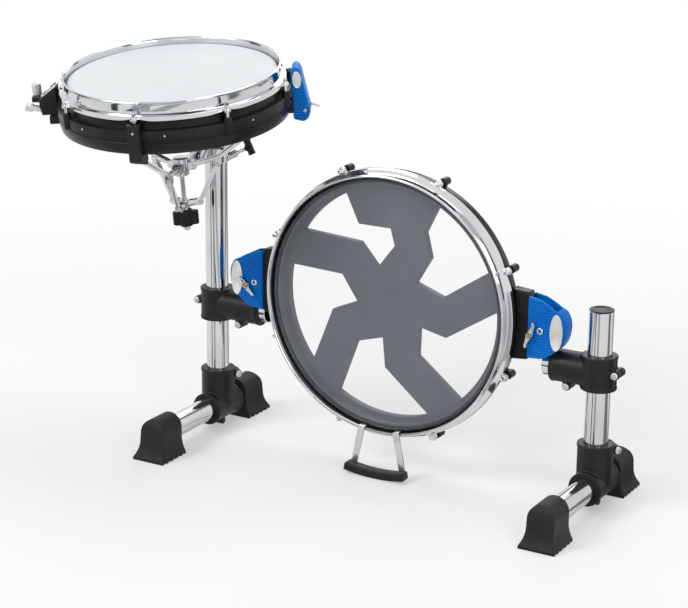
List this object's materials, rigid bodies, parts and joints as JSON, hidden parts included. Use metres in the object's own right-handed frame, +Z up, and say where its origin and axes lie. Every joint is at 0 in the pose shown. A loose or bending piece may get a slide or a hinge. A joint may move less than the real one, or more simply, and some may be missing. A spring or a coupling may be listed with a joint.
{
  "type": "drum kit",
  "caption": "Compact drum kit: a shallow bass drum slung between tube stands on rubber feet, and a snare drum held in a tilting basket above a post.",
  "frame": {"origin": "on the floor, in the middle of the underside of the pedal bar, below the centre of the bass drum", "axes": "+X to the player's right, from the snare side to the bare post; +Y away from the player; +Z up"},
  "size_m": [0.9471, 0.4259, 0.6581],
  "materials": {
    "chrome": "polished chrome plate",
    "brushed_steel": "bright zinc plate",
    "black_plastic": "moulded black plastic, satin",
    "black_rubber": "moulded black rubber, matt",
    "blue_plastic": "ribbed blue plastic, satin",
    "grey_plastic": "dark grey plastic, satin",
    "coated_film": "coated white drum film",
    "clear_film": "clear drum film"
  },
  "bodies": {
    "stand": {"base_tube_left": "chrome", "base_tube_right": "chrome", "foot_front_left": "black_rubber", "foot_front_right": "black_rubber", "foot_rear_left": "black_rubber", "foot_rear_right": "black_rubber", "base_clamp_left": "black_plastic", "base_clamp_right": "black_plastic", "post_left": "chrome", "post_right": "chrome", "post_cap_right": "black_plastic", "top_clamp": "chrome"},
    "stem_screw": {"stem_screw": "black_plastic"},
    "carriage": {"cross_clamp_left": "black_plastic", "cross_clamp_right": "black_plastic"},
    "bass_drum": {"bracket_stub_left": "chrome", "bracket_stub_right": "chrome", "bracket_left": "blue_plastic", "bracket_right": "blue_plastic", "wing_nut_left": "chrome", "wing_nut_right": "chrome", "bass_shell": "black_plastic", "bass_spider": "grey_plastic", "bass_head": "clear_film", "bass_rim": "chrome", "pedal_strut_left": "brushed_steel", "pedal_strut_right": "brushed_steel", "pedal_bar": "black_plastic"},
    "wing_lever_left": {"wing_lever_left": "chrome"},
    "wing_lever_right": {"wing_lever_right": "chrome"},
    "stem": {"snare_stem": "chrome"},
    "tilter": {"tilter_base": "chrome"},
    "basket": {"basket_hub": "chrome", "threaded_rod": "brushed_steel"},
    "collar": {"basket_collar": "chrome"},
    "knob": {"adjuster_knob": "black_plastic", "adjuster_nut": "chrome"},
    "snare_drum": {"snare_shell": "black_plastic", "snare_lower_ring": "black_plastic", "snare_head": "coated_film", "snare_rim": "chrome", "snare_bottom_head": "clear_film", "snare_bracket": "blue_plastic", "strainer_body": "black_plastic", "strainer_trim": "chrome"},
    "snare_wing_lever": {"snare_wing_lever": "chrome"},
    "strainer_lever": {"strainer_lever": "grey_plastic"},
    "snare_wires": {"snare_wires": "brushed_steel"},
    "strainer_knob": {"strainer_knob": "grey_plastic"},
    "arm_1": {"basket_arm_1": "chrome", "arm_grip_1": "black_rubber"},
    "link_1": {"basket_link_1": "chrome"},
    "arm_2": {"basket_arm_2": "chrome", "arm_grip_2": "black_rubber"},
    "link_2": {"basket_link_2": "chrome"},
    "arm_3": {"basket_arm_3": "chrome", "arm_grip_3": "black_rubber"},
    "link_3": {"basket_link_3": "chrome"}
  },
  "joints": [
    {"name": "carriage_height", "type": "slide", "parent": "stand", "child": "carriage", "axis": [0, 0, 1], "range_m": [0, 0.065]},
    {"name": "bass_tilt", "type": "hinge", "parent": "carriage", "child": "bass_drum", "pos_m": [0, 0.07, 0.219], "axis": [1, 0, 0], "range_deg": [-20, 0]},
    {"name": "wing_left_turn", "type": "hinge", "parent": "bass_drum", "child": "wing_lever_left", "pos_m": [-0.267, 0.04, 0.2694], "axis": [0, -1, 0], "range_deg": [0, 360]},
    {"name": "wing_right_turn", "type": "hinge", "parent": "bass_drum", "child": "wing_lever_right", "pos_m": [0.2445, 0.04, 0.27], "axis": [0, -1, 0], "range_deg": [0, 360]},
    {"name": "stem_screw_turn", "type": "hinge", "parent": "stand", "child": "stem_screw", "pos_m": [-0.29359, 0.08922, 0.48697], "axis": [0.8446, 0.3074, 0.4384], "range_deg": [0, 360]},
    {"name": "stem_height", "type": "slide", "parent": "stand", "child": "stem", "axis": [0, 0, 1], "range_m": [0, 0.08]},
    {"name": "tilter_swing", "type": "hinge", "parent": "stem", "child": "tilter", "pos_m": [-0.3464, 0.07, 0.4975], "axis": [0, 0, 1], "range_deg": [-90, 30]},
    {"name": "snare_tilt", "type": "hinge", "parent": "tilter", "child": "basket", "pos_m": [-0.3464, 0.02, 0.48], "axis": [1, 0, 0], "range_deg": [-20, 15]},
    {"name": "arm_1_open", "type": "hinge", "parent": "basket", "child": "arm_1", "pos_m": [-0.34126, -0.04965, 0.47023], "axis": [0.9627, 0.2682, 0.0363], "range_deg": [0, 10]},
    {"name": "arm_2_open", "type": "hinge", "parent": "basket", "child": "arm_2", "pos_m": [-0.33313, -0.01805, 0.4745], "axis": [-0.7157, 0.6921, 0.0936], "range_deg": [0, 10]},
    {"name": "arm_3_open", "type": "hinge", "parent": "basket", "child": "arm_3", "pos_m": [-0.36481, -0.02688, 0.47331], "axis": [-0.247, -0.9603, -0.1298], "range_deg": [0, 10]},
    {"name": "collar_travel", "type": "slide", "parent": "basket", "child": "collar", "axis": [0, 0.134, -0.991], "range_m": [0, 0.00775]},
    {"name": "link_1_swing", "type": "hinge", "parent": "collar", "child": "link_1", "pos_m": [-0.33936, -0.04776, 0.4059], "axis": [-0.9627, -0.2682, -0.0363], "range_deg": [0, 1.17]},
    {"name": "link_2_swing", "type": "hinge", "parent": "collar", "child": "link_2", "pos_m": [-0.32824, -0.00451, 0.41175], "axis": [0.7157, -0.6921, -0.0936], "range_deg": [0, 1.17]},
    {"name": "link_3_swing", "type": "hinge", "parent": "collar", "child": "link_3", "pos_m": [-0.37159, -0.01659, 0.41012], "axis": [0.247, 0.9603, 0.1298], "range_deg": [0, 1.17]},
    {"name": "knob_turn", "type": "hinge", "parent": "collar", "child": "knob", "pos_m": [-0.3464, -0.02168, 0.39984], "axis": [0, 0.134, -0.991], "range_deg": [0, 558.4]},
    {"name": "snare_lift", "type": "slide", "parent": "basket", "child": "snare_drum", "axis": [0, -0.134, 0.991], "range_m": [0, 0.12]},
    {"name": "snare_wing_turn", "type": "hinge", "parent": "snare_drum", "child": "snare_wing_lever", "pos_m": [-0.17296, 0.068, 0.57695], "axis": [-0.4695, 0.875, 0.1183], "range_deg": [0, 360]},
    {"name": "strainer_throw", "type": "hinge", "parent": "snare_drum", "child": "strainer_lever", "pos_m": [-0.52696, -0.14074, 0.56387], "axis": [0.4695, -0.875, -0.1183], "range_deg": [0, 70]},
    {"name": "wires_drop", "type": "slide", "parent": "snare_drum", "child": "snare_wires", "axis": [0, 0.134, -0.991], "range_m": [0, 0.004]},
    {"name": "strainer_knob_turn", "type": "hinge", "parent": "snare_drum", "child": "strainer_knob", "pos_m": [-0.55442, -0.1292, 0.58258], "axis": [0, -0.134, 0.991], "range_deg": [0, 360]}
  ],
  "couplings": [
    {"joint": "arm_2_open", "follows": "arm_1_open", "ratio": 1},
    {"joint": "arm_3_open", "follows": "arm_1_open", "ratio": 1},
    {"joint": "collar_travel", "follows": "arm_1_open", "m_per_rad": 0.044357},
    {"joint": "link_1_swing", "follows": "arm_1_open", "ratio": 0.1159},
    {"joint": "link_2_swing", "follows": "arm_1_open", "ratio": 0.1159},
    {"joint": "link_3_swing", "follows": "arm_1_open", "ratio": 0.1159},
    {"joint": "knob_turn", "follows": "arm_1_open", "ratio": 55.74},
    {"joint": "strainer_throw", "follows": "wires_drop", "rad_per_m": 305.43}
  ]
}
